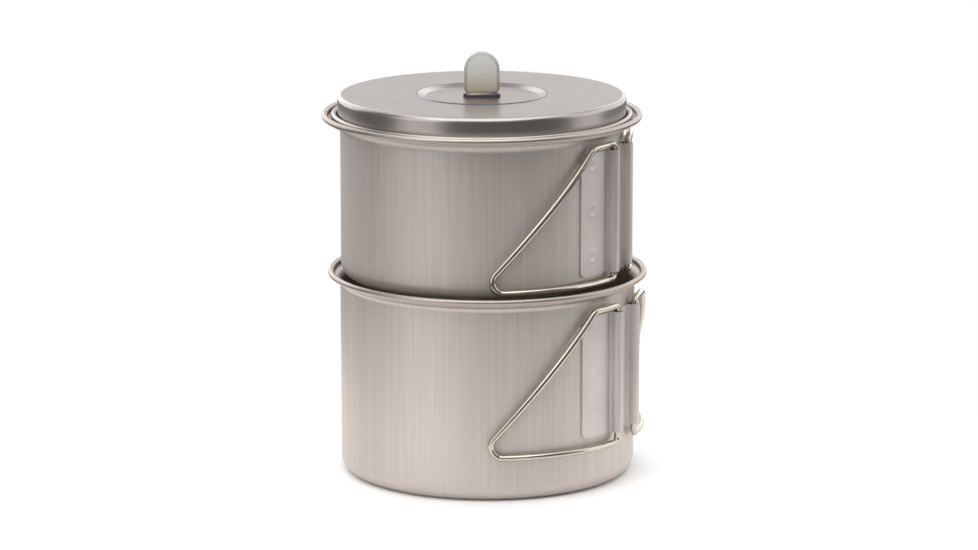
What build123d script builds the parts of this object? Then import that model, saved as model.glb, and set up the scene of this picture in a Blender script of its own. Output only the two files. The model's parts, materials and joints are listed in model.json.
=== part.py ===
from build123d import *

# Two-pot titanium camping cook set, stacked: a lower pot, an upper pot standing in its mouth and a
# shallow lid with a soft tab knob. Each pot has a pressed hinge plate, spot welded to its wall,
# whose two channels hold a pair of wire handles that fold round the wall or swing out together.
#
# Frame: millimetres, +Z up. The origin is the centre of the lower pot's base, on the face that
# rests on the ground, and +X runs out through the middle of the lower pot's hinge plate.

import os
from dataclasses import dataclass
from math import asin, ceil, cos, degrees, pi, radians, sin, sqrt, tan

# Sheet and rims, the same on both pots
SHEET = 0.5                      # thickness of the pots' and the lid's sheet
RIM_OUTER_R = 56.3               # outside of the rolled rim
RIM_BEAD_R = 1.0                 # outside radius of the rolled bead itself
RIM_ROLL_TURN = 285.0            # how far the bead is rolled, degrees
BASE_CORNER_R = 5.3              # outside radius between base and wall

# Lid
LID_SKIRT_R = 50.7               # outside of the lid's skirt
LID_HEIGHT = 7.1                 # lid's top above the middle of its rolled hem
LID_EDGE_R = 1.6                 # outside radius between top and skirt
LID_HEM_TURN_R = 1.15            # middle line of the hem's wide lower turn
LID_HEM_ROLL_R = 0.7             # middle line of the hem's tight upper roll
LID_HEM_TAIL = 0.35              # straight end of the hem, tucked beside the skirt
LID_SEAT_GAP = 0.3               # running gap between the hem and the ledge that it sits on
DISH_EDGE_R = 23.4               # where the lid's top starts to dip
DISH_FLOOR_R = 19.3              # flat floor of the dish
DISH_DEPTH = 0.9

# Knob: a flat silicone tab held in a slot of the lid by a groove
KNOB_ANGLE = 27.0                # direction of the tab's width about +Z, degrees
KNOB_WIDTH = 12.4
KNOB_THICKNESS = 3.2
KNOB_HEIGHT = 15.8               # top of the tab above the dish floor
KNOB_ROUNDING = 1.1
KNOB_FOOT = (13.2, 4.2, 1.0)     # length, width, height of the foot on the lid
KNOB_NECK = (11.0, 2.4)          # length and width of the neck, and of the lid's slot
KNOB_NOTCH = 0.35                # height of the groove between foot and tab
KNOB_FLANGE = (15.0, 6.0, 1.4)   # flange under the lid

# Hinge plate, one on each pot
PLATE_SHEET = 0.55
PLATE_GAP = 0.02                 # between wall and plate, closed by the welds
PLATE_HEIGHT = 43.0
PLATE_HALF_ARC = 22.8            # from the plate's middle to the end of a flange, along the wall
PLATE_CORNER_R = 2.0
CHANNEL_OFFSET = 6.85            # each channel's middle from the plate's middle plane
CHANNEL_HALF_WIDTH = 1.42        # inside
CHANNEL_DEPTH = 3.8              # inside, from the plate's inner face
CHANNEL_FOOT_R = 1.0             # middle line of the bend at a channel's foot
WELD_R = 1.5
WELD_DIMPLE = 0.14               # how far a weld spot lies below the flange
WELD_ARC = 17.0                  # from the plate's middle to the welds, along the wall
WELD_HEIGHTS = (-14.8, 1.2, 17.2)    # from the plate's mid height

# Wire handles, two on each pot
WIRE_R = 1.15
WIRE_STAND_OFF = 2.4             # wire's middle from the wall, where it turns in its channel
WIRE_TIP_OFF = 1.5               # the same at the handle's far corner
BAR_ABOVE = 2.1                  # upper bar above the plate's top
UPPER_BAR_ARC = 12.6             # length of the upper bar, round the wall
TIP_ARC = 57.6                   # from the hinge to the handle's far corner, round the wall
LEG_IN_CHANNEL = (8.0, 13.0)     # how far the wire's ends run into the channel, top and bottom
BEND_TOP_R = 2.4                 # wire's middle line at the top of the channel
BEND_KNEE_R = 5.0                # between the upper bar and the sloping run
BEND_TIP_R = 4.0                 # at the far corner
BEND_BOTTOM_R = 1.7              # at the bottom of the channel
ROUTE_STEP = 13.0                # largest turn round the wall between two route points, degrees
ROUTE_FILL = 0.45                # share of a run's free length that a bend at its end takes up


@dataclass
class Pot:
    """Sizes and place of one pot. Heights are in the shared frame."""
    name: str
    centre: tuple                # axis of the pot, x and y
    turn: float                  # direction of its hinge plate about +Z, degrees
    body_r: float                # outside of the wall
    base_z: float                # underside
    rim_z: float                 # middle of the rolled bead
    wall_drop: float             # from rim_z down to where the wall starts to flare
    flare_turn: float            # slope of the shoulder, 90 is a flat ledge
    flare_r: tuple               # middle-line radii at the wall and at the neck
    plate_z: float               # bottom of the hinge plate
    bar_below: float             # lower bar of the handles below the plate
    rear_open: float             # how far the rear handle stands open at rest, degrees

    def place(self):
        return Pos(self.centre[0], self.centre[1], 0) * Rot(0, 0, self.turn)


LOWER = Pot("lower", (0, 0), 0.0, 52.0, 0.0, 71.4, 4.3, 70, (2.4, 1.5), 20.0, 3.8, 2.0)
UPPER = Pot("upper", (-1.73, -0.85), 5.2, 49.8, 69.9, 127.2, 5.0, 90, (3.4, 0.7), 76.2, 2.55, 0.0)


def sheet_face(start, heading, moves, thickness):
    """Section of a sheet whose middle line starts at a point and runs through tangent moves.

    A move is (length, 0) for a straight run or (radius, turn) for a bend. Angles are in degrees
    and a turn to the left is positive.
    """
    position = Vector(*start)
    direction = Vector(1, 0).rotate(Axis.Z, heading)
    sides = {1: [], -1: []}
    ends = []
    for size, turn in [*moves, (0, 0)]:
        left = direction.rotate(Axis.Z, 90)
        offsets = {side: position + left * (side * thickness / 2) for side in sides}
        ends.append(offsets)
        if size == 0:
            break
        if turn == 0:
            position = position + direction * size
            for side, points in sides.items():
                points.append(Line(offsets[side], offsets[side] + direction * size))
            continue
        centre = position + left * (size if turn > 0 else -size)

        def swing(point, angle):
            return centre + (point - centre).rotate(Axis.Z, angle)

        for side, points in sides.items():
            first = offsets[side]
            points.append(ThreePointArc(first, swing(first, turn / 2), swing(first, turn)))
        position = swing(position, turn)
        direction = direction.rotate(Axis.Z, turn)
    caps = [Line(ends[0][1], ends[0][-1]), Line(ends[-1][1], ends[-1][-1])]
    return make_face([*sides[1], *sides[-1], *caps])


def lathe(face):
    """Turns a section, drawn as radius and height, round the Z axis."""
    return revolve(Plane.XZ * face, Axis.Z)


def pot_shell(pot):
    """Drawn pot: flat base, straight wall, flared shoulder and a rim rolled outwards."""
    half = SHEET / 2
    wall_r = pot.body_r - half
    corner = BASE_CORNER_R - half
    bead_r = RIM_BEAD_R - half
    neck_r = RIM_OUTER_R - RIM_BEAD_R - bead_r
    wall_bend, neck_bend = pot.flare_r
    slope = radians(pot.flare_turn)
    bends = wall_bend + neck_bend
    shoulder = (neck_r - wall_r - bends * (1 - cos(slope))) / sin(slope)
    rise = bends * sin(slope) + shoulder * cos(slope)
    wall = pot.rim_z - pot.wall_drop - pot.base_z - BASE_CORNER_R
    moves = [
        (wall_r - corner, 0),
        (corner, 90),
        (wall, 0),
        (wall_bend, -pot.flare_turn),
        (shoulder, 0),
        (neck_bend, pot.flare_turn),
        (pot.wall_drop - rise, 0),
        (bead_r, -RIM_ROLL_TURN),
    ]
    return Pos(*pot.centre, 0) * lathe(sheet_face((0, pot.base_z + half), 0, moves, SHEET))


def channel_angle(pot):
    """Angle between the plate's middle and a channel, round the pot."""
    return degrees(asin(CHANNEL_OFFSET / (pot.body_r + WIRE_STAND_OFF)))


def plate_section(pot):
    """Plan of the hinge plate: flange, channel, middle web, channel, flange."""
    half = PLATE_SHEET / 2
    web_r = pot.body_r + PLATE_GAP + half
    side = CHANNEL_HALF_WIDTH + half
    foot_x = side + CHANNEL_FOOT_R
    foot_y = sqrt((web_r + CHANNEL_FOOT_R) ** 2 - foot_x ** 2)
    crown_y = web_r + CHANNEL_DEPTH - side
    middle = channel_angle(pot)
    foot_half = degrees(asin(foot_x / (web_r + CHANNEL_FOOT_R)))
    foot_turn = 90 - foot_half
    flange_end = degrees(PLATE_HALF_ARC / pot.body_r)
    channel = [
        (CHANNEL_FOOT_R, -foot_turn),
        (crown_y - foot_y, 0),
        (side, 180),
        (crown_y - foot_y, 0),
        (CHANNEL_FOOT_R, -foot_turn),
    ]
    flange = [(web_r, flange_end - middle - foot_half)]
    web = [(web_r, 2 * (middle - foot_half))]
    start = Vector(web_r, 0).rotate(Axis.Z, -flange_end)
    moves = [*flange, *channel, *web, *channel, *flange]
    return sheet_face((start.X, start.Y), 90 - flange_end, moves, PLATE_SHEET)


def weld_bars(pot):
    """Six round bars through the flanges, one at each spot weld."""
    bars = []
    for side in (-1, 1):
        for height in WELD_HEIGHTS:
            outward = Vector(1, 0).rotate(Axis.Z, side * degrees(WELD_ARC / pot.body_r))
            start = outward * (pot.body_r - 1) + Vector(0, 0, pot.plate_z + PLATE_HEIGHT / 2 + height)
            bar = Cylinder(WELD_R, 3, align=(Align.CENTER, Align.CENTER, Align.MIN))
            bars.append(Plane(start, z_dir=outward) * bar)
    return bars


def hinge_plate(pot):
    """Pressed plate with rounded flange corners and a hole at each weld."""
    plate = Pos(0, 0, pot.plate_z) * extrude(plate_section(pot), PLATE_HEIGHT)
    flange_end = PLATE_HALF_ARC / pot.body_r
    end_y = pot.body_r * sin(flange_end)
    corners = [
        edge
        for edge in plate.edges().filter_by(GeomType.LINE)
        if abs(edge.length - PLATE_SHEET) < 0.01 and abs(edge.center().Y) > end_y - 0.5
    ]
    plate = fillet(corners, PLATE_CORNER_R)
    for bar in weld_bars(pot):
        plate -= bar
    return pot.place() * plate


def spot_welds(pot):
    """Weld spots that fill the plate's holes from the wall to just below its face."""
    top_r = pot.body_r + PLATE_GAP + PLATE_SHEET - WELD_DIMPLE
    low = Pos(0, 0, pot.plate_z)
    band = low * Cylinder(top_r, PLATE_HEIGHT, align=(Align.CENTER, Align.CENTER, Align.MIN))
    band -= low * Cylinder(pot.body_r, PLATE_HEIGHT, align=(Align.CENTER, Align.CENTER, Align.MIN))
    return pot.place() * Compound(children=[(band & bar).solids()[0] for bar in weld_bars(pot)])


def handle_outline(pot):
    """Handle laid flat: distance round the wall from the hinge, height, and bend radius."""
    top = pot.plate_z + PLATE_HEIGHT
    upper_bar = top + BAR_ABOVE
    lower_bar = pot.plate_z - pot.bar_below
    return [
        (0, top - LEG_IN_CHANNEL[0], 0),
        (0, upper_bar, BEND_TOP_R),
        (UPPER_BAR_ARC, upper_bar, BEND_KNEE_R),
        (TIP_ARC, lower_bar, BEND_TIP_R),
        (0, lower_bar, BEND_BOTTOM_R),
        (0, pot.plate_z + LEG_IN_CHANNEL[1], 0),
    ]


def handle_route(pot):
    """Points of the wire's middle line round the wall, and the bend radius at each inner point.

    Extra points between the outline's corners follow the wall, with bends as large as the runs
    allow. They stand out a little, so that these bends bring the wire back to its distance.
    """
    hinge_r = pot.body_r + WIRE_STAND_OFF
    outline = handle_outline(pot)
    flat = []
    for (arc, height, bend), (next_arc, next_height, _) in zip(outline, outline[1:]):
        steps = max(1, ceil(degrees(abs(next_arc - arc) / hinge_r) / ROUTE_STEP))
        flat.append((arc, height, bend))
        for step in range(1, steps):
            share = step / steps
            flat.append((arc + (next_arc - arc) * share, height + (next_height - height) * share, 0))
    flat.append(outline[-1])
    route = []
    for arc, height, _ in flat:
        stand = hinge_r - (WIRE_STAND_OFF - WIRE_TIP_OFF) * arc / TIP_ARC
        if arc > 0:
            stand /= cos(radians(ROUTE_STEP / 2))
        route.append(Vector(stand, 0, height).rotate(Axis.Z, degrees(arc / hinge_r)))
    runs = [after - before for before, after in zip(route, route[1:])]
    half_turns = [radians(before.get_angle(after) / 2) for before, after in zip(runs, runs[1:])]
    corner_bends = [bend for _, _, bend in flat[1:-1]]
    taken = [0, *(bend * tan(half) for bend, half in zip(corner_bends, half_turns)), 0]
    bends = []
    for index, (bend, half) in enumerate(zip(corner_bends, half_turns)):
        free_before = runs[index].length - taken[index]
        free_after = runs[index + 1].length - taken[index + 2]
        bends.append(bend or ROUTE_FILL * min(free_before, free_after) / tan(half))
    return route, bends


def hinge_place(pot, side):
    """Point of a handle's hinge axis in the pot's own frame. side is 1 or -1."""
    return Vector(pot.body_r + WIRE_STAND_OFF, 0).rotate(Axis.Z, side * channel_angle(pot))


def wire_handle(pot, side, opened):
    """One folding handle, folded round the wall or standing open by some degrees."""
    route, bends = handle_route(pot)
    path = FilletPolyline(*route, radius=bends)
    wire = sweep(Plane(path @ 0, z_dir=path % 0) * Circle(WIRE_R), path=path)
    expected = pi * WIRE_R ** 2 * path.length
    print(f"{pot.name} handle: wire {path.length:.1f} mm, volume {wire.volume / expected:.4f} of section x length")
    wire = Rot(0, 0, channel_angle(pot)) * wire
    if side < 0:
        wire = mirror(wire, Plane.XZ)
    hinge = hinge_place(pot, side)
    swing = Pos(hinge.X, hinge.Y, 0) * Rot(0, 0, -side * opened) * Pos(-hinge.X, -hinge.Y, 0)
    return pot.place() * swing * wire


def lid_hem_z():
    """Height of the middle of the lid's hem roll when it sits on the upper pot's ledge."""
    half = SHEET / 2
    wall_r = UPPER.body_r - half
    ledge_bend = UPPER.flare_r[0]
    hem_r = LID_SKIRT_R - half + LID_HEM_TURN_R
    reach = ledge_bend + LID_HEM_TURN_R + SHEET + LID_SEAT_GAP
    across = wall_r + ledge_bend - hem_r
    return UPPER.rim_z - UPPER.wall_drop + sqrt(reach ** 2 - across ** 2)


def lid_floor_z():
    """Top face of the dish floor."""
    return lid_hem_z() + LID_HEIGHT - DISH_DEPTH


def knob_place():
    return UPPER.place() * Rot(0, 0, KNOB_ANGLE - UPPER.turn)


def rounded_bar(length, width, bottom, height):
    """Upright block with half-round ends."""
    return Pos(0, 0, bottom) * extrude(SlotOverall(length, width), height)


def lid_shell():
    """Shallow lid: dished middle with a slot, rounded edge, skirt and a hem rolled outwards."""
    half = SHEET / 2
    dish_turn = 2 * degrees(asin(DISH_DEPTH / sqrt(DISH_DEPTH ** 2 + (DISH_EDGE_R - DISH_FLOOR_R) ** 2)))
    dish_bend = (DISH_EDGE_R - DISH_FLOOR_R) / (2 * sin(radians(dish_turn)))
    edge = LID_EDGE_R - half
    skirt_r = LID_SKIRT_R - half
    moves = [
        (DISH_FLOOR_R, 0),
        (dish_bend, dish_turn),
        (dish_bend, -dish_turn),
        (skirt_r - edge - DISH_EDGE_R, 0),
        (edge, -90),
        (LID_HEIGHT - LID_EDGE_R, 0),
        (LID_HEM_TURN_R, 180),
        (LID_HEM_ROLL_R, 180),
        (LID_HEM_TAIL, 0),
    ]
    shell = Pos(*UPPER.centre, 0) * lathe(sheet_face((0, lid_floor_z() - half), 0, moves, SHEET))
    return shell - knob_place() * rounded_bar(*KNOB_NECK, lid_floor_z() - 2 * SHEET, 3 * SHEET)


def lid_knob():
    """Soft tab standing through the lid's slot: tab, groove, foot, neck and flange in one piece."""
    floor = lid_floor_z()
    foot_length, foot_width, foot_height = KNOB_FOOT
    flange_length, flange_width, flange_height = KNOB_FLANGE
    round_r = KNOB_WIDTH / 2
    tab_bottom = foot_height + KNOB_NOTCH
    side = Rectangle(KNOB_WIDTH, KNOB_HEIGHT - round_r - tab_bottom, align=(Align.CENTER, Align.MIN))
    outline = Pos(0, tab_bottom) * side + Pos(0, KNOB_HEIGHT - round_r) * Circle(round_r)
    tab = extrude(Plane.XZ * outline, KNOB_THICKNESS / 2, both=True)
    tab = Pos(0, 0, floor) * fillet(tab.edges().filter_by(Axis.Y, reverse=True), KNOB_ROUNDING)
    neck_bottom = floor - SHEET - flange_height
    knob = tab + rounded_bar(*KNOB_NECK, neck_bottom, flange_height + SHEET + tab_bottom + KNOB_NOTCH)
    knob += rounded_bar(foot_length, foot_width, floor, foot_height)
    knob += rounded_bar(flange_length, flange_width, neck_bottom, flange_height)
    return knob_place() * knob


def set_parts():
    """Every piece of the set by its node name."""
    parts = {"lid": lid_shell(), "lid_knob": lid_knob()}
    for pot in (LOWER, UPPER):
        parts[f"{pot.name}_pot"] = pot_shell(pot)
        parts[f"{pot.name}_hinge_plate"] = hinge_plate(pot)
        parts[f"{pot.name}_spot_welds"] = spot_welds(pot)
        parts[f"{pot.name}_handle_front"] = wire_handle(pot, -1, 0)
        parts[f"{pot.name}_handle_rear"] = wire_handle(pot, 1, pot.rear_open)
    return parts


os.makedirs("parts", exist_ok=True)
for node, shape in set_parts().items():
    export_step(shape, f"parts/{node}.step")
for pot in (LOWER, UPPER):
    for side, word in ((-1, "front"), (1, "rear")):
        axis = pot.place() * Location(hinge_place(pot, side))
        print(f"{pot.name}_handle_{word} hinge at {axis.position.X:.4f}, {axis.position.Y:.4f}")
print(f"lid: hem middle {lid_hem_z():.3f}, dish floor {lid_floor_z():.3f}, top {lid_hem_z() + LID_HEIGHT:.3f}")
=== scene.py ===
# Looks of a two-pot titanium cook set: both pots, hinge plates, weld spots, wire handles, lid and
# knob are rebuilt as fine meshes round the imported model. Sizes are in metres.

import json
from math import asin, atan2, ceil, cos, degrees, hypot, pi, radians, sin, sqrt, tan

import bmesh
import bpy
from mathutils import Matrix, Vector


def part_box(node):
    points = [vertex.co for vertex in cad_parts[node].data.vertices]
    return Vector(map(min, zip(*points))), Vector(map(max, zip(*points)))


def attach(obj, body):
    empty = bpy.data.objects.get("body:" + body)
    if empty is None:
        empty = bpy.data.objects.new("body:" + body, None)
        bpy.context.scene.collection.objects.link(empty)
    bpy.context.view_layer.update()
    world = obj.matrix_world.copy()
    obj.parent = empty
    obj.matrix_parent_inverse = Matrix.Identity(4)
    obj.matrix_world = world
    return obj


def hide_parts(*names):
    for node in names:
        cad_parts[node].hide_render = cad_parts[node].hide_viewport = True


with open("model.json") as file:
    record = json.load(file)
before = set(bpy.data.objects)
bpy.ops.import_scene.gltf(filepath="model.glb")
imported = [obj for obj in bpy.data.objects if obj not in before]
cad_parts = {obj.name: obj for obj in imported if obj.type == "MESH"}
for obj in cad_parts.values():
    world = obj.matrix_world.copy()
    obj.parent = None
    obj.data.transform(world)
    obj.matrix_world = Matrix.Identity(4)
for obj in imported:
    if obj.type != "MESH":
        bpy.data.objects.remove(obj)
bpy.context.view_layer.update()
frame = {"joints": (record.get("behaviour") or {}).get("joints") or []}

MM = 0.001
SHEET = 0.5 * MM
RIM_BEAD_R = 1.0 * MM
RIM_ROLL_TURN = 285
BASE_CORNER_R = 5.3 * MM
LATHE_STEPS = 288                # facets round a pot
ARC_STEP = 12                    # largest turn between two points of a section's bend, degrees
SHARP_TURN = 40                  # edges that turn further than this are shaded as sharp, degrees
EDGE_LOOP = 0.1 * MM             # extra points this far from a straight run's ends keep its shading flat

LID_SKIRT_R = 50.7 * MM
LID_EDGE_R = 1.6 * MM
LID_HEM_TURN_R = 1.15 * MM
LID_HEM_ROLL_R = 0.7 * MM
LID_HEM_TAIL = 0.35 * MM
LID_HEIGHT = 7.1 * MM            # top above the middle of the hem roll
DISH_FLOOR_R = 19.3 * MM
DISH_DEPTH = 0.9 * MM
DISH_TURN = 20                   # slope of the dish's side, degrees
DISH_BENDS = (2.6 * MM, 0.35 * MM)   # at the floor and at the crisp outer edge
DISH_LIP = (0.45 * MM, 23)       # outer face of the fine lip round the dish: length and slope
DISH_LIP_R = 23.15 * MM          # middle of that face

KNOB_ANGLE = radians(27)         # direction of the tab's width
KNOB_WIDTH = 12.4 * MM
KNOB_THICKNESS = 3.2 * MM
KNOB_ROUNDING = 1.1 * MM         # of the tab's edges
KNOB_CORNER_R = 1.43 * MM        # at the tab's lower corners
KNOB_FOOT = (13.2 * MM, 4.2 * MM, 1.0 * MM)      # length, width and height, on the lid
KNOB_NECK = (11.0 * MM, 2.4 * MM)                # length and width, also of the lid's slot
KNOB_NOTCH = 0.35 * MM           # groove between foot and tab
KNOB_FLANGE = (15.0 * MM, 6.0 * MM, 1.4 * MM)    # length, width and height, under the lid
KNOB_TOP_STEPS = 40
KNOB_EDGE_STEPS = 8
SLOT_END_STEPS = 16

PLATE_SHEET = 0.55 * MM
PLATE_GAP = 0.02 * MM
PLATE_HALF_ARC = 22.8 * MM
PLATE_CORNER_R = 2.0 * MM
CHANNEL_OFFSET = 6.85 * MM
CHANNEL_HALF_WIDTH = 1.42 * MM
CHANNEL_DEPTH = 3.8 * MM
CHANNEL_FOOT_R = 1.0 * MM
FLANGE_PIECES = 40               # points along a flange, and along the web between the channels
WEB_PIECES = 12
PLATE_ROWS = 108
PLATE_ROW_CROWDING = 0.35        # 0 spaces the rows evenly, 1 crowds them at the top and bottom
PLATE_CORNER_FADE = 8.0 * MM     # the rounding of a corner fades out over this length

WELD_R = 1.5 * MM
WELD_ARC = 17.0 * MM             # along the wall from the plate's middle
WELD_HEIGHTS = (-14.8 * MM, 1.2 * MM, 17.2 * MM)     # from the plate's middle
WELD_DIMPLE = 0.14 * MM          # depth of the hollow round a weld
WELD_RIDGE = 0.11 * MM           # height of the ring pushed up round it
WELD_HOLLOW_R = 1.8 * MM
WELD_RIDGE_R = 2.025 * MM
WELD_REACH = 3.0 * MM            # the plate is flat further away than this
WELD_CAP = 0.18 * MM
# distance from the middle and rise of a cap, as shares of WELD_R and WELD_CAP
WELD_CAP_PROFILE = [(0, 0.20), (0.35, 0.24), (0.62, 0.46), (0.8, 0.62), (0.94, 0.42), (1.0, 0.0)]
WELD_BACK = 0.2 * MM             # depth of a cap's hidden part
WELD_SIDES = 32

WIRE_R = 1.15 * MM
WIRE_STAND_OFF = 2.4 * MM        # of the wire's middle from the wall, at the hinge
WIRE_TIP_OFF = 1.5 * MM          # and at the tip
UPPER_BAR_ARC = 12.6 * MM        # along the wall from the hinge
TIP_ARC = 57.6 * MM
LEG_IN_CHANNEL = (8.0 * MM, 13.0 * MM)   # of the upper and the lower leg
BEND_TOP_R = 2.4 * MM
BEND_KNEE_R = 5.0 * MM
BEND_TIP_R = 4.0 * MM
BEND_BOTTOM_R = 1.7 * MM
BEND_STEP = 0.36 * MM            # longest step of the wire's mesh in a bend, and in a straight run
RUN_STEP = 1.5 * MM
WIRE_SIDES = 20
WIRE_NOSE = [(0.175, 0.92), (0.375, 0.62)]   # rounded end: distance and size as shares of the radius


# ------------------------------------------------------------------ places read from the frame

def middle(node):
    """Centre of a node's box, seen from above."""
    low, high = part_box(node)
    return Vector(((low.x + high.x) / 2, (low.y + high.y) / 2))


class Pot:
    """Place and sizes of one pot, worked out from its CAD nodes."""

    def __init__(self, name, body_r, wall_drop, flare_turn, flare_r):
        low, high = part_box(name + "_pot")
        plate_low, plate_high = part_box(name + "_hinge_plate")
        self.name = name
        self.body_r = body_r
        self.wall_drop = wall_drop
        self.flare_turn = flare_turn
        self.flare_r = flare_r
        self.centre = middle(name + "_pot")
        self.base_z = low.z
        self.rim_z = high.z - RIM_BEAD_R
        self.rim_r = (high.x - low.x) / 2
        self.plate_z = plate_low.z
        self.plate_top = plate_high.z
        wire_low, wire_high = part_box(name + "_handle_front")
        self.bar_high = wire_high.z - WIRE_R
        self.bar_low = wire_low.z + WIRE_R
        hinges = [j["pos_m"] for j in frame["joints"] if j["name"].startswith(name + "_handle")]
        away = sum((Vector(p[:2]) - self.centre for p in hinges), Vector((0, 0)))
        self.turn = atan2(away.y, away.x)

    def place(self):
        """Frame of the pot: its upright axis, turned so that x runs to the plate's middle."""
        return Matrix.Translation((*self.centre, 0)) @ Matrix.Rotation(self.turn, 4, "Z")


LOWER = Pot("lower", 52.0 * MM, 4.3 * MM, 70, (2.4 * MM, 1.5 * MM))
UPPER = Pot("upper", 49.8 * MM, 5.0 * MM, 90, (3.4 * MM, 0.7 * MM))


# ------------------------------------------------------------------ mesh helpers

def new_piece(name, verts, faces, matrix=None):
    """A smooth-shaded mesh object from vertices and faces."""
    mesh = bpy.data.meshes.new(name)
    mesh.from_pydata([tuple(v) for v in verts], [], faces)
    if matrix is not None:
        mesh.transform(matrix)
    work = bmesh.new()
    work.from_mesh(mesh)
    bmesh.ops.recalc_face_normals(work, faces=work.faces)
    work.to_mesh(mesh)
    work.free()
    mesh.polygons.foreach_set("use_smooth", [True] * len(mesh.polygons))
    piece = bpy.data.objects.new(name, mesh)
    bpy.context.scene.collection.objects.link(piece)
    return piece


def finish_piece(piece, material, body, nodes):
    """Gives a piece its material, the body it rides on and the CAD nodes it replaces."""
    piece.data.materials.clear()
    piece.data.materials.append(material)
    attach(piece, body)
    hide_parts(*nodes)
    return piece


def trace(start, heading, moves):
    """Points and left-hand normals of a line made of tangent moves.

    A move is (length, 0) for a straight run or (radius, turn) for a bend, in degrees, where a
    turn to the left is positive.
    """
    position = Vector(start)
    angle = radians(heading)
    stations = [(position.copy(), Vector((-sin(angle), cos(angle))))]
    for size, turn in moves:
        if turn == 0:
            ahead = Vector((cos(angle), sin(angle)))
            normal = Vector((-sin(angle), cos(angle)))
            stops = (EDGE_LOOP, size - EDGE_LOOP, size) if size > 4 * EDGE_LOOP else (size,)
            stations += [(position + ahead * stop, normal) for stop in stops]
            position = position + ahead * size
            continue
        side = 1 if turn > 0 else -1
        centre = position + Vector((-sin(angle), cos(angle))) * size * side
        first = angle
        steps = ceil(abs(turn) / ARC_STEP)
        for step in range(1, steps + 1):
            angle = first + radians(turn) * step / steps
            normal = Vector((-sin(angle), cos(angle)))
            position = centre - normal * size * side
            stations.append((position.copy(), normal))
    return stations


def sheet_outline(stations, thickness):
    """Closed outline of a sheet round its middle line."""
    half = thickness / 2
    left = [point + normal * half for point, normal in stations]
    right = [point - normal * half for point, normal in reversed(stations)]
    return left + right


def lathe(name, outline, centre):
    """Turns a closed outline, given as radius and height, round an upright axis."""
    verts = []
    rings = []
    for radius, height in outline:
        if radius < 1e-7:
            rings.append([len(verts)])
            verts.append((centre.x, centre.y, height))
            continue
        rings.append(list(range(len(verts), len(verts) + LATHE_STEPS)))
        for step in range(LATHE_STEPS):
            angle = 2 * pi * step / LATHE_STEPS
            verts.append((centre.x + radius * cos(angle), centre.y + radius * sin(angle), height))
    faces = []
    for ring, following in zip(rings, rings[1:] + rings[:1]):
        for step in range(LATHE_STEPS):
            after = (step + 1) % LATHE_STEPS
            corners = [ring[step % len(ring)], ring[after % len(ring)],
                       following[after % len(following)], following[step % len(following)]]
            distinct = list(dict.fromkeys(corners))
            if len(distinct) > 2:
                faces.append(distinct)
    return new_piece(name, verts, faces)


def tube(name, line, radius, matrix):
    """A round wire along a line of points, with rounded ends."""
    tangents = [(after - before).normalized() for before, after in zip(line, line[1:])]
    tangents = [tangents[0], *((a + b).normalized() for a, b in zip(tangents, tangents[1:])), tangents[-1]]
    side = tangents[0].orthogonal().normalized()
    verts = []
    rings = []

    def ring(point, tangent, across, size):
        along = tangent.cross(across)
        rings.append(list(range(len(verts), len(verts) + WIRE_SIDES)))
        for step in range(WIRE_SIDES):
            angle = 2 * pi * step / WIRE_SIDES
            verts.append(point + (across * cos(angle) + along * sin(angle)) * size)

    for back, share in reversed(WIRE_NOSE):
        ring(line[0] - tangents[0] * radius * back, tangents[0], side, radius * share)
    for point, tangent in zip(line, tangents):
        side = (side - tangent * side.dot(tangent)).normalized()
        ring(point, tangent, side, radius)
    for ahead, share in WIRE_NOSE:
        ring(line[-1] + tangents[-1] * radius * ahead, tangents[-1], side, radius * share)
    faces = [rings[0][::-1], rings[-1]]
    for first, second in zip(rings, rings[1:]):
        for step in range(WIRE_SIDES):
            after = (step + 1) % WIRE_SIDES
            faces.append([first[step], first[after], second[after], second[step]])
    return new_piece(name, verts, faces, matrix)


def apply_modifiers(piece):
    """Bakes a piece's modifiers into its mesh."""
    graph = bpy.context.evaluated_depsgraph_get()
    mesh = bpy.data.meshes.new_from_object(piece.evaluated_get(graph))
    piece.modifiers.clear()
    piece.data = mesh


def combine(piece, other, operation):
    """Boolean of two closed meshes; the other one is removed."""
    modifier = piece.modifiers.new("combine", "BOOLEAN")
    modifier.operation = operation
    modifier.solver = "EXACT"
    modifier.object = other
    apply_modifiers(piece)
    bpy.data.objects.remove(other)


def mark_sharp(piece):
    """Keeps a mesh's hard corners from being shaded as if they were round."""
    work = bmesh.new()
    work.from_mesh(piece.data)
    for edge in work.edges:
        if len(edge.link_faces) == 2 and edge.calc_face_angle() > radians(SHARP_TURN):
            edge.smooth = False
    work.to_mesh(piece.data)
    work.free()


# ------------------------------------------------------------------ pots and lid

def pot_stations(pot):
    """Middle line of a pot's sheet, from the base's centre out, up and round the rolled rim."""
    half = SHEET / 2
    wall_r = pot.body_r - half
    corner = BASE_CORNER_R - half
    bead_r = RIM_BEAD_R - half
    neck_r = pot.rim_r - RIM_BEAD_R - bead_r
    wall_bend, neck_bend = pot.flare_r
    slope = radians(pot.flare_turn)
    bends = wall_bend + neck_bend
    shoulder = (neck_r - wall_r - bends * (1 - cos(slope))) / sin(slope)
    rise = bends * sin(slope) + shoulder * cos(slope)
    moves = [
        (wall_r - corner, 0),
        (corner, 90),
        (pot.rim_z - pot.wall_drop - pot.base_z - BASE_CORNER_R, 0),
        (wall_bend, -pot.flare_turn),
        (shoulder, 0),
        (neck_bend, pot.flare_turn),
        (pot.wall_drop - rise, 0),
        (bead_r, -RIM_ROLL_TURN),
    ]
    return trace((0, pot.base_z + half), 0, moves)


def make_pot(pot, material):
    """Drawn sheet with its rolled rim."""
    piece = lathe(pot.name + "_pot_shell", sheet_outline(pot_stations(pot), SHEET), pot.centre)
    return finish_piece(piece, material, pot.name + "_pot", [pot.name + "_pot"])


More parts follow.
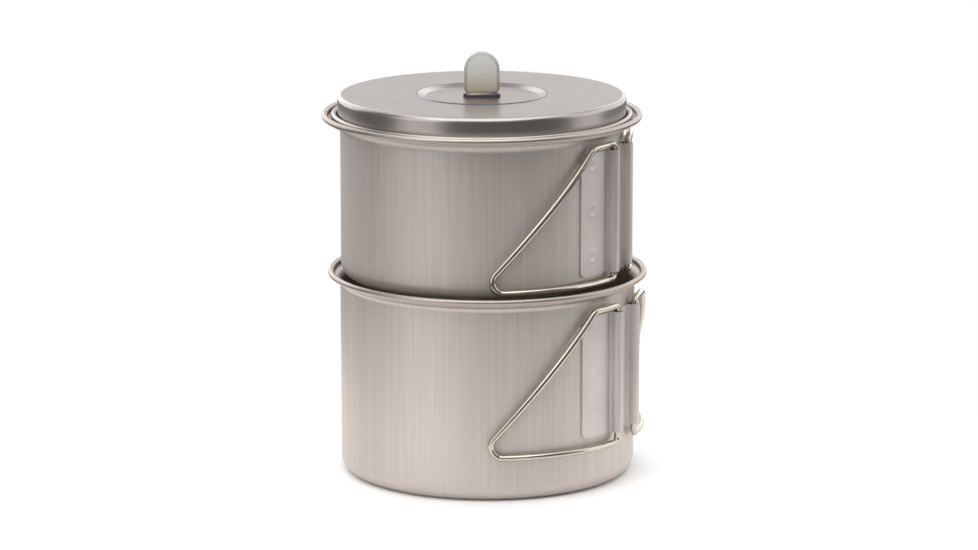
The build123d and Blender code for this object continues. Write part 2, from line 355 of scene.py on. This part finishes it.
def lid_top():
    """Height of the lid's top face: its node's box reaches down to the hem's lowest point."""
    low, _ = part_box("lid")
    return low.z + LID_HEM_TURN_R + SHEET / 2 + LID_HEIGHT


def slot_block(name, length, width, bottom, height):
    """Upright block with half-round ends, across the knob's direction, as a closed mesh."""
    radius = width / 2
    outline = []
    for end in (1, -1):
        for step in range(SLOT_END_STEPS + 1):
            angle = pi * step / SLOT_END_STEPS - end * pi / 2
            outline.append((end * (length / 2 - radius) + radius * cos(angle), radius * sin(angle)))
    count = len(outline)
    verts = [(x, y, bottom) for x, y in outline] + [(x, y, bottom + height) for x, y in outline]
    faces = [list(range(count)), list(range(count, 2 * count))]
    for step in range(count):
        after = (step + 1) % count
        faces.append([step, after, count + after, count + step])
    return new_piece(name, verts, faces, knob_place())


def knob_place():
    """Frame of the knob and its slot: the lid's centre, turned so that x runs along the tab."""
    centre = middle("lid")
    return Matrix.Translation((*centre, 0)) @ Matrix.Rotation(KNOB_ANGLE, 4, "Z")


def dish_moves():
    """Moves from the dish's floor up its side and over the fine lip, and how far out they reach."""
    floor_bend, edge_bend = DISH_BENDS
    lip, lip_turn = DISH_LIP
    side = radians(DISH_TURN)
    drop = radians(lip_turn)
    lip_rise = lip * sin(drop) + edge_bend * (1 - cos(drop))
    bends_rise = floor_bend * (1 - cos(side)) + edge_bend * (cos(drop) - cos(side))
    slope = (DISH_DEPTH + lip_rise - bends_rise) / sin(side)
    bends_run = (floor_bend + edge_bend) * sin(side) + 2 * edge_bend * sin(drop)
    moves = [
        (floor_bend, DISH_TURN),
        (slope, 0),
        (edge_bend, -DISH_TURN - lip_turn),
        (lip, 0),
        (edge_bend, lip_turn),
    ]
    return moves, bends_run + slope * cos(side) + lip * cos(drop)


def make_lid(material):
    """Sheet with its dish, skirt and rolled hem, and the knob's slot cut through it."""
    half = SHEET / 2
    floor = lid_top() - DISH_DEPTH
    edge = LID_EDGE_R - half
    dish, dish_run = dish_moves()
    moves = [
        (DISH_FLOOR_R, 0),
        *dish,
        (LID_SKIRT_R - half - edge - DISH_FLOOR_R - dish_run, 0),
        (edge, -90),
        (LID_HEIGHT - LID_EDGE_R, 0),
        (LID_HEM_TURN_R, 180),
        (LID_HEM_ROLL_R, 180),
        (LID_HEM_TAIL, 0),
    ]
    outline = sheet_outline(trace((0, floor - half), 0, moves), SHEET)
    piece = lathe("lid_shell", outline, middle("lid"))
    cutter = slot_block("slot_cutter", *KNOB_NECK, floor - 2 * SHEET, 3 * SHEET)
    combine(piece, cutter, "DIFFERENCE")
    mark_sharp(piece)
    return finish_piece(piece, material, "lid", ["lid"])


# ------------------------------------------------------------------ knob

def tab_outline(inset, bottom, top):
    """Outline of the tab, drawn in by a distance: half-round top, straight sides, small corners."""
    half = KNOB_WIDTH / 2 - inset
    corner = KNOB_CORNER_R - inset
    middle_z = top - KNOB_WIDTH / 2
    points = []
    for step in range(KNOB_TOP_STEPS + 1):
        angle = pi * step / KNOB_TOP_STEPS
        points.append((half * cos(angle), middle_z + half * sin(angle)))
    for side in (-1, 1):
        for step in range(KNOB_EDGE_STEPS + 1):
            share = step / KNOB_EDGE_STEPS
            angle = pi / 2 * (share if side < 0 else 1 - share)
            points.append((side * (half - corner + corner * cos(angle)),
                           bottom + inset + corner - corner * sin(angle)))
    return points


def make_tab(bottom, top):
    """Flat tab with rounded edges, built up from outlines through its thickness."""
    flat = KNOB_THICKNESS / 2 - KNOB_ROUNDING
    rings = []
    for step in range(-KNOB_EDGE_STEPS, KNOB_EDGE_STEPS + 1):
        lean = pi / 2 * step / KNOB_EDGE_STEPS
        inset = KNOB_ROUNDING * (1 - cos(lean))
        depth = KNOB_ROUNDING * sin(lean) + (flat if step > 0 else -flat if step < 0 else 0)
        rings.append([(x, depth, z) for x, z in tab_outline(inset, bottom, top)])
    count = len(rings[0])
    verts = [v for ring in rings for v in ring]
    faces = [list(range(count)), list(range(len(verts) - count, len(verts)))]
    for row in range(len(rings) - 1):
        for step in range(count):
            after = (step + 1) % count
            base = row * count
            faces.append([base + step, base + after, base + count + after, base + count + step])
    return new_piece("knob_tab", verts, faces, knob_place())


def make_knob(material):
    """Tab, foot, neck through the slot and flange under the lid, joined into one mesh."""
    low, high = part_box("lid_knob")
    floor = lid_top() - DISH_DEPTH
    foot_length, foot_width, foot_height = KNOB_FOOT
    flange_length, flange_width, flange_height = KNOB_FLANGE
    tab_bottom = floor + foot_height + KNOB_NOTCH
    neck_bottom = low.z + flange_height / 2
    neck_height = tab_bottom + KNOB_NOTCH * 2 - neck_bottom
    knob = make_tab(tab_bottom, high.z)
    combine(knob, slot_block("knob_neck", *KNOB_NECK, neck_bottom, neck_height), "UNION")
    combine(knob, slot_block("knob_foot", foot_length, foot_width, floor, foot_height), "UNION")
    combine(knob, slot_block("knob_flange", flange_length, flange_width, low.z, flange_height), "UNION")
    knob.data.polygons.foreach_set("use_smooth", [True] * len(knob.data.polygons))
    return finish_piece(knob, material, "lid", ["lid_knob"])


# ------------------------------------------------------------------ hinge plates and welds

def channel_angle(pot):
    """Angle round the pot from the plate's middle to each channel."""
    return asin(CHANNEL_OFFSET / (pot.body_r + WIRE_STAND_OFF))


def plate_stations(pot):
    """Middle line of the plate seen from above, from the end of one flange to the other's."""
    half = PLATE_SHEET / 2
    web_r = pot.body_r + PLATE_GAP + half
    side = CHANNEL_HALF_WIDTH + half
    foot_x = side + CHANNEL_FOOT_R
    foot_y = sqrt((web_r + CHANNEL_FOOT_R) ** 2 - foot_x ** 2)
    crown_y = web_r + CHANNEL_DEPTH - side
    middle_angle = degrees(channel_angle(pot))
    foot_half = degrees(asin(foot_x / (web_r + CHANNEL_FOOT_R)))
    flange_end = degrees(PLATE_HALF_ARC / pot.body_r)
    bend = (CHANNEL_FOOT_R, -(90 - foot_half))
    channel = [bend, (crown_y - foot_y, 0), (side, 180), (crown_y - foot_y, 0), bend]
    flange = split_arc(web_r, flange_end - middle_angle - foot_half, FLANGE_PIECES)
    web = split_arc(web_r, 2 * (middle_angle - foot_half), WEB_PIECES)
    start = (web_r * cos(radians(-flange_end)), web_r * sin(radians(-flange_end)))
    return trace(start, 90 - flange_end, [*flange, *channel, *web, *channel, *flange])


def split_arc(radius, turn, pieces):
    """A bend cut into equal moves."""
    return [(radius, turn / pieces)] * pieces


def weld_spots(pot):
    """Angle round the pot and height of each weld."""
    middle_z = (pot.plate_z + pot.plate_top) / 2
    turn = WELD_ARC / pot.body_r
    return [(side * turn, middle_z + height) for side in (-1, 1) for height in WELD_HEIGHTS]


def along(stations, lengths, distance):
    """Point and normal of a section at a distance along it."""
    index = len(lengths) - 2
    if distance < lengths[-1]:
        index = max(0, next(i for i, length in enumerate(lengths) if length > distance) - 1)
    share = (distance - lengths[index]) / (lengths[index + 1] - lengths[index])
    point = stations[index][0].lerp(stations[index + 1][0], share)
    normal = stations[index][1].lerp(stations[index + 1][1], share).normalized()
    return point, normal


def row_levels(height):
    """Heights of the plate's rows of points, closer together at the top and bottom."""
    shares = [row / PLATE_ROWS for row in range(PLATE_ROWS + 1)]
    crowd = PLATE_ROW_CROWDING
    return [height * (crowd * (0.5 - 0.5 * cos(pi * share)) + (1 - crowd) * share) for share in shares]


def corner_pull(level, height):
    """How far the plate's ends are drawn in at a level, for its rounded corners."""
    nearest = min(level, height - level)
    if nearest >= PLATE_CORNER_R:
        return 0
    return PLATE_CORNER_R - sqrt(PLATE_CORNER_R ** 2 - (PLATE_CORNER_R - nearest) ** 2)


def plate_layer(pot, stations, lengths, side):
    """Rows of points over the plate's back (-1) or its dimpled face (1)."""
    total = lengths[-1]
    height = pot.plate_top - pot.plate_z
    rows = []
    for level in row_levels(height):
        pull = corner_pull(level, height)
        row = []
        for distance in lengths:
            edge = min(distance, total - distance)
            shift = pull * max(0, 1 - edge / PLATE_CORNER_FADE)
            point, normal = along(stations, lengths, distance + (shift if distance < total / 2 else -shift))
            lift = -side * PLATE_SHEET / 2
            if side > 0:
                lift += dimple(pot, point, pot.plate_z + level)
            place = point + normal * lift
            row.append((place.x, place.y, pot.plate_z + level))
        rows.append(row)
    return rows


def dimple(pot, point, level):
    """How far the plate's face is pressed in at a weld, less the ring pushed up round it."""
    angle = atan2(point.y, point.x)
    for spot_angle, spot_z in weld_spots(pot):
        away = hypot((angle - spot_angle) * pot.body_r, level - spot_z)
        if away < WELD_REACH:
            hollow = WELD_DIMPLE * 0.5 * (1 + cos(pi * min(1, away / WELD_HOLLOW_R)))
            ridge = WELD_RIDGE * max(0, cos(pi * (away - WELD_RIDGE_R) / WELD_HOLLOW_R))
            return hollow - ridge
    return 0


def make_plate(pot, material):
    """Pressed plate: a grid over its back and its face, closed round the edges."""
    stations = plate_stations(pot)
    lengths = [0]
    for (before, _), (after, _) in zip(stations, stations[1:]):
        lengths.append(lengths[-1] + (after - before).length)
    layers = [plate_layer(pot, stations, lengths, side) for side in (-1, 1)]
    verts = [point for layer in layers for row in layer for point in row]
    columns = len(lengths)

    def vertex(layer, row, column):
        return (layer * (PLATE_ROWS + 1) + row) * columns + column

    faces = []
    for row in range(PLATE_ROWS):
        for column in range(columns - 1):
            for layer in (0, 1):
                faces.append([vertex(layer, row, column), vertex(layer, row, column + 1),
                              vertex(layer, row + 1, column + 1), vertex(layer, row + 1, column)])
        for column in (0, columns - 1):
            faces.append([vertex(0, row, column), vertex(1, row, column),
                          vertex(1, row + 1, column), vertex(0, row + 1, column)])
    for row in (0, PLATE_ROWS):
        for column in range(columns - 1):
            faces.append([vertex(0, row, column), vertex(1, row, column),
                          vertex(1, row, column + 1), vertex(0, row, column + 1)])
    piece = new_piece(pot.name + "_plate_pressing", verts, faces, pot.place())
    mark_sharp(piece)
    return finish_piece(piece, material, pot.name + "_pot", [pot.name + "_hinge_plate"])


def make_welds(pot, material):
    """Six shallow round caps that fill the dimples."""
    verts = []
    faces = []
    face_r = pot.body_r + PLATE_GAP + PLATE_SHEET
    up = Vector((0, 0, 1))
    sections = [(WELD_R * share, WELD_CAP * rise) for share, rise in WELD_CAP_PROFILE]
    sections.append((WELD_R, -WELD_BACK))
    for angle, height in weld_spots(pot):
        outward = Vector((cos(angle), sin(angle), 0))
        across = Vector((-sin(angle), cos(angle), 0))
        base = outward * (face_r - WELD_DIMPLE) + up * height
        rings = []
        for size, rise in sections:
            count = WELD_SIDES if size > 0 else 1
            rings.append(list(range(len(verts), len(verts) + count)))
            for step in range(count):
                turn = 2 * pi * step / WELD_SIDES
                verts.append(base + outward * rise + (across * cos(turn) + up * sin(turn)) * size)
        for first, second in zip(rings, rings[1:]):
            for step in range(WELD_SIDES):
                after = (step + 1) % WELD_SIDES
                corners = [first[step % len(first)], first[after % len(first)], second[after], second[step]]
                faces.append(list(dict.fromkeys(corners)))
        faces.append(rings[-1])
    piece = new_piece(pot.name + "_weld_spots", verts, faces, pot.place())
    return finish_piece(piece, material, pot.name + "_pot", [pot.name + "_spot_welds"])


# ------------------------------------------------------------------ wire handles

def handle_line(pot):
    """Middle line of a folded handle, laid flat with rounded corners and then wrapped round the wall."""
    corners = [
        (0, pot.plate_top - LEG_IN_CHANNEL[0], 0),
        (0, pot.bar_high, BEND_TOP_R),
        (UPPER_BAR_ARC, pot.bar_high, BEND_KNEE_R),
        (TIP_ARC, pot.bar_low, BEND_TIP_R),
        (0, pot.bar_low, BEND_BOTTOM_R),
        (0, pot.plate_z + LEG_IN_CHANNEL[1], 0),
    ]
    points = [Vector(c[:2]) for c in corners]
    flat = [points[0]]
    for before, point, after, corner in zip(points, points[1:], points[2:], corners[1:]):
        radius = corner[2]
        back = (before - point).normalized()
        ahead = (after - point).normalized()
        half_inside = back.angle(ahead) / 2
        cut = radius / tan(half_inside)
        centre = point + (back + ahead).normalized() * (radius / sin(half_inside))
        first = point + back * cut
        last = point + ahead * cut
        add_run(flat, first)
        turn = pi - 2 * half_inside
        arm = first - centre
        spin = 1 if arm.cross(last - centre) > 0 else -1
        steps = ceil(turn * radius / BEND_STEP)
        for step in range(1, steps + 1):
            angle = spin * turn * step / steps
            flat.append(centre + Vector((arm.x * cos(angle) - arm.y * sin(angle),
                                         arm.x * sin(angle) + arm.y * cos(angle))))
    add_run(flat, points[-1])
    hinge_r = pot.body_r + WIRE_STAND_OFF
    line = []
    for arc, height in flat:
        stand = hinge_r - (WIRE_STAND_OFF - WIRE_TIP_OFF) * arc / TIP_ARC
        angle = arc / hinge_r
        line.append(Vector((stand * cos(angle), stand * sin(angle), height)))
    return line


def add_run(line, end):
    """Adds evenly spaced points up to an end point."""
    start = line[-1]
    steps = max(1, ceil((end - start).length / RUN_STEP))
    for step in range(1, steps + 1):
        line.append(start.lerp(end, step / steps))


def handle_at_rest(pot, side):
    """How far a handle stands open in the stored pose, from its joint's range."""
    word = "front" if side < 0 else "rear"
    joint = next(j for j in frame["joints"] if j["name"] == f"{pot.name}_handle_{word}_hinge")
    return radians(-joint["range_deg"][0])


def make_handle(pot, side, material):
    """Front (-1) or rear (1) handle, opened to its stored angle."""
    word = "front" if side < 0 else "rear"
    angle = channel_angle(pot)
    hinge = Vector((cos(angle), side * sin(angle), 0)) * (pot.body_r + WIRE_STAND_OFF)
    line = [Matrix.Rotation(angle, 3, "Z") @ p for p in handle_line(pot)]
    if side < 0:
        line = [Vector((p.x, -p.y, p.z)) for p in line]
    opened = Matrix.Rotation(-side * handle_at_rest(pot, side), 4, "Z")
    swing = Matrix.Translation(hinge) @ opened @ Matrix.Translation(-hinge)
    node = f"{pot.name}_handle_{word}"
    piece = tube(node + "_wire", line, WIRE_R, pot.place() @ swing)
    return finish_piece(piece, material, node, [node])


# ------------------------------------------------------------------ materials

RIM_FROM_R = 52.4 * MM           # rims and shoulders lie further from the frame's axis than this
RIM_BLEND = 1.2 * MM
ROUGHNESS_SPREAD = 0.05
RELIEF_DEPTH = 0.02 * MM
# painted shade on the outer face of the lid's fine lip
LIP_SHADE_COLOUR = (0.10, 0.11, 0.16)
# painted shade along the tab's sides and round top
KNOB_EDGE_SHADE_COLOUR = (0.50, 0.52, 0.48)
KNOB_EDGE_FROM = 1.1 * MM        # painted shade darkens the tab from here to KNOB_EDGE_TO inside its outline
KNOB_EDGE_TO = 0.2 * MM
KNOB_HAZE = 0.10
MIX_FACTOR = 0                   # sockets of a Mix node set to colour
MIX_FIRST = 6
MIX_SECOND = 7
MIX_RESULT = 2


def node_material(name):
    material = bpy.data.materials.new(name)
    material.use_nodes = True
    tree = material.node_tree
    shader = tree.nodes["Principled BSDF"]
    return material, tree, shader


def link(tree, source, output, target, entry):
    tree.links.new(source.outputs[output], target.inputs[entry])


def math_node(tree, kind, operation):
    """Math or vector math node set to an operation."""
    node = tree.nodes.new(kind)
    node.operation = operation
    return node


def stretched_noise(tree, scale, detail):
    """Noise in the row frame, stretched by a scale along each axis."""
    coords = tree.nodes.new("ShaderNodeTexCoord")
    mapping = tree.nodes.new("ShaderNodeMapping")
    mapping.inputs["Scale"].default_value = scale
    noise = tree.nodes.new("ShaderNodeTexNoise")
    noise.inputs["Scale"].default_value = 1.0
    noise.inputs["Detail"].default_value = detail
    link(tree, coords, "Object", mapping, "Vector")
    link(tree, mapping, "Vector", noise, "Vector")
    return noise


def ramp(tree, source, output, stops):
    """Colour ramp through (position, colour) stops."""
    node = tree.nodes.new("ShaderNodeValToRGB")
    elements = node.color_ramp.elements
    while len(elements) < len(stops):
        elements.new(0.5)
    for element, (position, colour) in zip(elements, stops):
        element.position = position
        element.color = (*colour, 1)
    link(tree, source, output, node, "Fac")
    return node


def remap(tree, source, output, span, low=0.0, high=1.0):
    """Maps a span of a value to a range of values, and holds it there beyond the span."""
    node = tree.nodes.new("ShaderNodeMapRange")
    node.inputs["From Min"].default_value = span[0]
    node.inputs["From Max"].default_value = span[1]
    node.inputs["To Min"].default_value = low
    node.inputs["To Max"].default_value = high
    link(tree, source, output, node, "Value")
    return node


def mix_in(tree, factor, output, colour, fixed, blend="MIX"):
    """Mixes a fixed colour into a colour socket by a factor, and gives the new socket."""
    node = tree.nodes.new("ShaderNodeMix")
    node.data_type = "RGBA"
    node.blend_type = blend
    node.inputs[MIX_SECOND].default_value = (*fixed, 1)
    link(tree, factor, output, node, MIX_FACTOR)
    tree.links.new(colour, node.inputs[MIX_FIRST])
    return node.outputs[MIX_RESULT]


def axis_distance(tree, x, y):
    """Distance from an upright axis in the row frame."""
    coords = tree.nodes.new("ShaderNodeTexCoord")
    flat = math_node(tree, "ShaderNodeVectorMath", "MULTIPLY_ADD")
    flat.inputs[1].default_value = (1, 1, 0)
    flat.inputs[2].default_value = (-x, -y, 0)
    away = math_node(tree, "ShaderNodeVectorMath", "LENGTH")
    link(tree, coords, "Object", flat, 0)
    link(tree, flat, 0, away, 0)
    return away


def rim_mask(tree, low, high):
    """One value on the walls and another on the rolled rims, by distance from the frame's axis."""
    away = axis_distance(tree, 0, 0)
    return remap(tree, away, "Value", (RIM_FROM_R, RIM_FROM_R + RIM_BLEND), low, high)


def add_sheen(tree, shader, fine, low, high, bump):
    """Uneven roughness and a fine relief, both from one noise; gives the roughness node."""
    rough = remap(tree, fine, "Fac", (0.3, 0.7), low, high)
    relief = tree.nodes.new("ShaderNodeBump")
    relief.inputs["Strength"].default_value = bump
    relief.inputs["Distance"].default_value = RELIEF_DEPTH
    link(tree, rough, "Result", shader, "Roughness")
    link(tree, fine, "Fac", relief, "Height")
    link(tree, relief, "Normal", shader, "Normal")
    return rough


def titanium(name, light, dark, roughness, grain, bump, metallic=1.0, streaks=(70, 70, 45), rim=None):
    """Bare titanium: cloudy or streaky tint, fine grain and a slightly uneven sheen.

    A rim, if given, is the roughness of the rolled rims and a darker colour painted on them as shade.
    """
    material, tree, shader = node_material(name)
    tint = stretched_noise(tree, streaks, 4)
    colour = ramp(tree, tint, "Fac", [(0.35, dark), (0.65, light)]).outputs["Color"]
    fine = stretched_noise(tree, grain, 3)
    rough = add_sheen(tree, shader, fine, roughness - ROUGHNESS_SPREAD, roughness + ROUGHNESS_SPREAD, bump)
    shader.inputs["Metallic"].default_value = metallic
    if rim is not None:
        rim_shade_colour, rim_roughness = rim
        # painted shade: the rims get a darker colour
        colour = mix_in(tree, rim_mask(tree, 0.0, 1.0), "Result", colour, rim_shade_colour)
        smoother = math_node(tree, "ShaderNodeMath", "MULTIPLY")
        link(tree, rough, "Result", smoother, 0)
        link(tree, rim_mask(tree, 1.0, rim_roughness / roughness), "Result", smoother, 1)
        link(tree, smoother, "Value", shader, "Roughness")
        link(tree, rim_mask(tree, metallic, 1.0), "Result", shader, "Metallic")
    tree.links.new(colour, shader.inputs["Base Color"])
    return material


def paint_lip_shade(material):
    """Paints shade on the outer face of the fine lip round the lid's dish, as a dark line."""
    tree = material.node_tree
    base = tree.nodes["Principled BSDF"].inputs["Base Color"]
    away = axis_distance(tree, *middle("lid"))
    band = math_node(tree, "ShaderNodeMath", "COMPARE")
    band.inputs[1].default_value = DISH_LIP_R
    band.inputs[2].default_value = DISH_LIP[0]
    link(tree, away, "Value", band, 0)
    tree.links.new(mix_in(tree, band, "Value", base.links[0].from_socket, LIP_SHADE_COLOUR), base)


def knob_edge_shade_mask(tree, top):
    """0 inside the tab's outline and 1 along its sides and round top, where the tab gets painted shade."""
    centre = middle("lid")
    coords = tree.nodes.new("ShaderNodeTexCoord")
    offset = math_node(tree, "ShaderNodeVectorMath", "SUBTRACT")
    offset.inputs[1].default_value = (centre.x, centre.y, top - KNOB_WIDTH / 2)
    above = math_node(tree, "ShaderNodeVectorMath", "MAXIMUM")
    above.inputs[1].default_value = (-1, -1, 0)
    away = math_node(tree, "ShaderNodeVectorMath", "LENGTH")
    link(tree, coords, "Object", offset, 0)
    link(tree, offset, 0, above, 0)
    link(tree, above, 0, away, 0)
    return remap(tree, away, "Value", (KNOB_WIDTH / 2 - KNOB_EDGE_FROM, KNOB_WIDTH / 2 - KNOB_EDGE_TO))


def silicone(name):
    """Frosted silicone with light and shade painted in: a dark painted shadow at the foot, warm painted
    shade at the root, paler upwards as painted light, and painted shade at its edges.
    """
    material, tree, shader = node_material(name)
    bottom = lid_top() - DISH_DEPTH
    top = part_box("lid_knob")[1].z
    coords = tree.nodes.new("ShaderNodeTexCoord")
    split = tree.nodes.new("ShaderNodeSeparateXYZ")
    link(tree, coords, "Object", split, "Vector")
    level = remap(tree, split, "Z", (bottom, top))
    haze = stretched_noise(tree, (160, 160, 120), 2)
    cloudy = math_node(tree, "ShaderNodeMath", "MULTIPLY_ADD")
    cloudy.inputs[1].default_value = KNOB_HAZE
    link(tree, haze, "Fac", cloudy, 0)
    link(tree, level, "Result", cloudy, 2)
    foot = KNOB_HAZE / 2 + KNOB_FOOT[2] / (top - bottom)
    # painted light and shade by height: dark painted shadow along the foot, warm painted shade at the root,
    # paler painted light upwards
    stops = [
        (foot, (0.07, 0.075, 0.10)),
        (foot + 0.02, (0.56, 0.47, 0.38)),
        (0.38, (0.66, 0.60, 0.53)),
        (0.60, (0.78, 0.77, 0.73)),
        (1.0, (0.93, 0.94, 0.91)),
    ]
    colour = ramp(tree, cloudy, "Value", stops).outputs["Color"]
    # painted shade along the tab's edges
    colour = mix_in(tree, knob_edge_shade_mask(tree, top), "Result", colour, KNOB_EDGE_SHADE_COLOUR, "MULTIPLY")
    tree.links.new(colour, shader.inputs["Base Color"])
    shader.inputs["Transmission Weight"].default_value = 0.25
    shader.inputs["IOR"].default_value = 1.41
    add_sheen(tree, shader, stretched_noise(tree, (2500, 2500, 2500), 2), 0.16, 0.26, 0.15)
    return material


def floor_material():
    """Pale paper with a faint cloudiness."""
    material, tree, shader = node_material("floor_paper")
    cloud = stretched_noise(tree, (3, 3, 3), 2)
    colour = ramp(tree, cloud, "Fac", [(0.3, (0.93, 0.93, 0.93)), (0.7, (0.96, 0.96, 0.96))])
    link(tree, colour, "Color", shader, "Base Color")
    shader.inputs["Roughness"].default_value = 0.9
    return material


# ------------------------------------------------------------------ studio and camera

CAMERA_AZIMUTH = 26.15           # degrees; 0 looks along +Y
CAMERA_PITCH = 12.1
CAMERA_DISTANCE = 1.522
CAMERA_LENS = 158.3              # millimetres
CAMERA_TARGET = Vector((0.51 * MM, 0.25 * MM, 69.4 * MM))
TABLE_R = 0.20
TABLE_SIDES = 96
ROOM_LIGHT = 0.19                # what the metal reflects between the soft boxes
WHITE = (1, 1, 1, 1)


def direction(azimuth, elevation):
    """Unit vector from the set towards an azimuth and elevation in degrees."""
    a = radians(azimuth)
    e = radians(elevation)
    return Vector((sin(a) * cos(e), -cos(a) * cos(e), sin(e)))


def aim(item, azimuth, elevation, distance):
    """Places a camera or lamp at a distance from the target, looking at it."""
    away = direction(azimuth, elevation)
    item.location = CAMERA_TARGET + away * distance
    item.rotation_euler = (-away).to_track_quat("-Z", "Y").to_euler()
    bpy.context.scene.collection.objects.link(item)


def make_camera():
    """The photograph's view."""
    data = bpy.data.cameras.new("camera")
    data.lens = CAMERA_LENS
    data.sensor_width = 36
    data.clip_start = 0.05
    data.clip_end = 20
    camera = bpy.data.objects.new("camera", data)
    aim(camera, CAMERA_AZIMUTH, CAMERA_PITCH, CAMERA_DISTANCE)
    bpy.context.scene.camera = camera
    bpy.context.scene.view_settings.view_transform = "Standard"


def soft_box(name, azimuth, elevation, distance, size, brightness):
    """Evenly lit rectangle; its azimuth counts from the camera's."""
    data = bpy.data.lights.new(name, "AREA")
    data.shape = "RECTANGLE"
    data.size = size[0]
    data.size_y = size[1]
    data.energy = brightness * pi * size[0] * size[1]
    aim(bpy.data.objects.new(name, data), CAMERA_AZIMUTH + azimuth, elevation, distance)


def make_table():
    """Round pale table top that the set stands on."""
    turns = [2 * pi * step / TABLE_SIDES for step in range(TABLE_SIDES)]
    rim = [(TABLE_R * cos(turn), TABLE_R * sin(turn), 0) for turn in turns]
    table = new_piece("floor", rim, [list(range(TABLE_SIDES))])
    table.data.materials.append(floor_material())


def make_room():
    """World that is white behind the set and dim in its reflections."""
    world = bpy.data.worlds.new("studio")
    bpy.context.scene.world = world
    world.use_nodes = True
    tree = world.node_tree
    room = tree.nodes["Background"]
    room.inputs["Color"].default_value = WHITE
    room.inputs["Strength"].default_value = ROOM_LIGHT
    backdrop = tree.nodes.new("ShaderNodeBackground")
    backdrop.inputs["Color"].default_value = WHITE
    path = tree.nodes.new("ShaderNodeLightPath")
    mix = tree.nodes.new("ShaderNodeMixShader")
    link(tree, path, "Is Camera Ray", mix, 0)
    link(tree, room, 0, mix, 1)
    link(tree, backdrop, 0, mix, 2)
    link(tree, mix, 0, tree.nodes["World Output"], "Surface")


def make_lights():
    """Soft boxes at the sides, behind, in front and overhead, with dark gaps between them."""
    soft_box("left", -50, 20, 1.3, (0.95, 1.5), 1.35)
    soft_box("right", 92, 20, 1.3, (0.90, 1.5), 1.25)
    soft_box("back_left", -142, 18, 1.5, (1.5, 1.2), 1.65)
    soft_box("back", -176, 18, 1.5, (0.9, 1.2), 0.74)
    soft_box("back_right", 143, 18, 1.5, (1.6, 1.2), 1.35)
    soft_box("front", -8, 52, 1.3, (1.5, 0.9), 1.1)
    soft_box("top", 0, 89, 1.2, (1.6, 1.6), 2.0)


make_camera()
make_table()
make_room()
make_lights()

# the rims' darker colour is painted shade; their roughness is their own
body_metal = titanium("pot_titanium", (0.635, 0.572, 0.53), (0.575, 0.52, 0.48), 0.54,
                      (11000, 11000, 260), 0.7, metallic=0.8, streaks=(1300, 1300, 22),
                      rim=((0.45, 0.39, 0.35), 0.40))
lid_metal = titanium("lid_titanium", (0.415, 0.38, 0.36), (0.385, 0.352, 0.332), 0.30,
                     (9000, 9000, 9000), 0.2)
# painted shade on the lid's fine lip
paint_lip_shade(lid_metal)
plate_metal = titanium("plate_titanium", (0.66, 0.61, 0.58), (0.60, 0.55, 0.525), 0.52,
                       (5000, 5000, 900), 0.5, metallic=0.8)
weld_metal = titanium("weld_titanium", (0.66, 0.60, 0.58), (0.58, 0.53, 0.51), 0.45,
                      (6000, 6000, 6000), 0.4, metallic=0.8)
wire_metal = titanium("wire_titanium", (0.56, 0.51, 0.44), (0.52, 0.47, 0.40), 0.13,
                      (3000, 3000, 3000), 0.1)

for pot in (LOWER, UPPER):
    make_pot(pot, body_metal)
    make_plate(pot, plate_metal)
    make_welds(pot, weld_metal)
    for side in (-1, 1):
        make_handle(pot, side, wire_metal)
make_lid(lid_metal)
make_knob(silicone("knob_silicone"))
